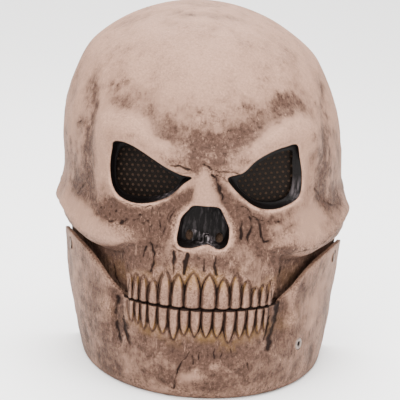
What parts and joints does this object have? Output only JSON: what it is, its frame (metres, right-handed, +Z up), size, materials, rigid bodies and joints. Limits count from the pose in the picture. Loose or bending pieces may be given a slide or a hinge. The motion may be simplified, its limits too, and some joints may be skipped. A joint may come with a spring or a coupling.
{
  "type": "skull mask",
  "caption": "Moulded full-face skull mask in two shells, with a jaw that turns on hollow side rivets and dark perforated sheets behind the eye openings.",
  "frame": {"origin": "below the middle of the mask, in the plane of the jaw's lower rim", "axes": "+Z up, the face towards -Y, +X to the viewer's right"},
  "size_m": [0.2116, 0.1526, 0.256],
  "materials": {
    "bone": "moulded plastic, painted as stained bone, matt",
    "mesh": "black perforated sheet, satin",
    "gauze": "thin brown gauze",
    "rivet": "thin bone-coloured paint over metal"
  },
  "bodies": {
    "skull": {"skull_shell": "bone", "eye_mesh_left": "mesh", "eye_mesh_right": "mesh", "nose_mesh": "gauze", "jaw_pivot_left": "rivet", "jaw_pivot_right": "rivet", "temple_eyelet_left": "rivet", "temple_eyelet_right": "rivet"},
    "jaw": {"jaw_shell": "bone", "jaw_eyelet": "rivet"}
  },
  "joints": [
    {"name": "jaw_hinge", "type": "hinge", "parent": "skull", "child": "jaw", "pos_m": [0, 0.01826, 0.08346], "axis": [1, 0, 0], "range_deg": [0, 12]}
  ]
}
